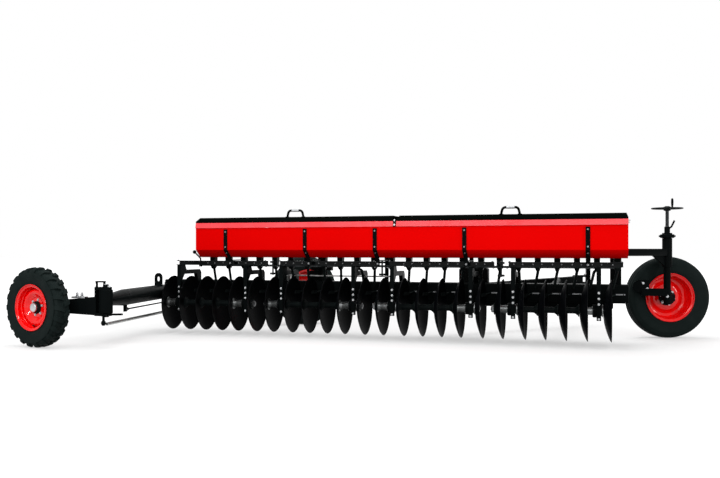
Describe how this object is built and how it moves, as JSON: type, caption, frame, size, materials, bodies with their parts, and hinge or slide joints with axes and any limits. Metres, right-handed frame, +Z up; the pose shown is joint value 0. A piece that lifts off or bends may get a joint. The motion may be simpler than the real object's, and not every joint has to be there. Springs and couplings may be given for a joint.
{
  "type": "one-way disc seed drill",
  "caption": "Trailed one-way disc seed drill: gangs of concave discs on a square beam under a long seed hopper with hinged lids, on steered furrow wheels and a land wheel.",
  "frame": {"origin": "on the floor under the middle of the drill's bounding box", "axes": "+X along the disc gangs to the side the discs throw to, where the front furrow wheel is, +Y to the far side where the drawbar is, +Z up"},
  "size_m": [5.6094, 3.6924, 1.248],
  "materials": {
    "red_paint": "gloss red enamel",
    "black_paint": "satin black enamel",
    "tyre_rubber": "matt rubber",
    "disc_steel": "dark oiled steel",
    "bright_steel": "bright zinc"
  },
  "bodies": {
    "frame": {"main_beam": "black_paint", "hanger_1": "black_paint", "hanger_2": "black_paint", "hanger_3": "black_paint", "hanger_4": "black_paint", "hanger_5": "black_paint", "hanger_6": "black_paint", "hanger_7": "black_paint", "hanger_8": "black_paint", "rail_1": "black_paint", "rail_2": "black_paint", "rail_3": "black_paint", "rail_4": "black_paint", "hopper_front": "red_paint", "hopper_back": "red_paint", "hopper_left_end": "red_paint", "hopper_right_end": "red_paint", "hopper_divider": "red_paint", "centre_latch": "black_paint", "hopper_stand_1": "black_paint", "hopper_stand_2": "black_paint", "hopper_stand_3": "black_paint", "hopper_stand_4": "black_paint", "hopper_stand_5": "black_paint", "metering_left": "black_paint", "metering_right": "black_paint", "gear_housing": "black_paint", "rear_arm": "black_paint", "front_beam": "black_paint", "land_axle": "black_paint", "lift_mast": "black_paint", "lift_cylinder": "bright_steel", "drawbar": "black_paint", "hitch_pin": "bright_steel", "rail_link_1": "black_paint", "rail_link_2": "black_paint", "rail_link_3": "black_paint", "tie_rod": "bright_steel"},
    "gang_1": {"gang_1": "disc_steel"},
    "gang_2": {"gang_2": "disc_steel"},
    "gang_3": {"gang_3": "disc_steel"},
    "gang_4": {"gang_4": "disc_steel"},
    "lid_left": {"lid_left": "black_paint"},
    "lid_right": {"lid_right": "black_paint"},
    "rear_steer": {"rear_wheel_arm": "black_paint"},
    "rear_wheel": {"rear_wheel_rim": "red_paint", "rear_wheel_tyre": "tyre_rubber"},
    "front_steer": {"front_post": "black_paint", "depth_screw": "bright_steel"},
    "front_wheel": {"front_wheel_rim": "red_paint", "front_wheel_tyre": "tyre_rubber"},
    "land_wheel": {"land_wheel_rim": "red_paint", "land_wheel_tyre": "tyre_rubber"}
  },
  "joints": [
    {"name": "gang_1_turn", "type": "hinge", "parent": "frame", "child": "gang_1", "pos_m": [-2.00518, -0.19511, 0.295], "axis": [1, 0, 0], "continuous": true},
    {"name": "gang_2_turn", "type": "hinge", "parent": "frame", "child": "gang_2", "pos_m": [-0.97268, -0.19511, 0.295], "axis": [1, 0, 0], "continuous": true},
    {"name": "gang_3_turn", "type": "hinge", "parent": "frame", "child": "gang_3", "pos_m": [0.05982, -0.19511, 0.295], "axis": [1, 0, 0], "continuous": true},
    {"name": "gang_4_turn", "type": "hinge", "parent": "frame", "child": "gang_4", "pos_m": [1.09232, -0.19511, 0.295], "axis": [1, 0, 0], "continuous": true},
    {"name": "lid_left_open", "type": "hinge", "parent": "frame", "child": "lid_left", "pos_m": [-0.76643, 0.06049, 1.0523], "axis": [-1, 0, 0], "range_deg": [0, 100]},
    {"name": "lid_right_open", "type": "hinge", "parent": "frame", "child": "lid_right", "pos_m": [1.14107, 0.06049, 1.0523], "axis": [-1, 0, 0], "range_deg": [0, 100]},
    {"name": "rear_steer", "type": "hinge", "parent": "frame", "child": "rear_steer", "pos_m": [-1.90518, -1.59511, 0.39], "axis": [0, 0, 1], "range_deg": [-10, 60]},
    {"name": "rear_wheel_turn", "type": "hinge", "parent": "rear_steer", "child": "rear_wheel", "pos_m": [-2.47918, -1.69511, 0.328], "axis": [-0.2588, -0.9659, 0], "continuous": true},
    {"name": "front_steer", "type": "hinge", "parent": "frame", "child": "front_steer", "pos_m": [2.43482, 0.62489, 0.3675], "axis": [0, 0, 1], "range_deg": [-15, 45]},
    {"name": "front_wheel_turn", "type": "hinge", "parent": "front_steer", "child": "front_wheel", "pos_m": [2.44482, 0.81489, 0.3675], "axis": [-0.3206, 0.9472, 0], "continuous": true},
    {"name": "land_wheel_turn", "type": "hinge", "parent": "frame", "child": "land_wheel", "pos_m": [-1.12018, 1.10489, 0.3675], "axis": [-0.7431, 0.6691, 0], "continuous": true}
  ]
}
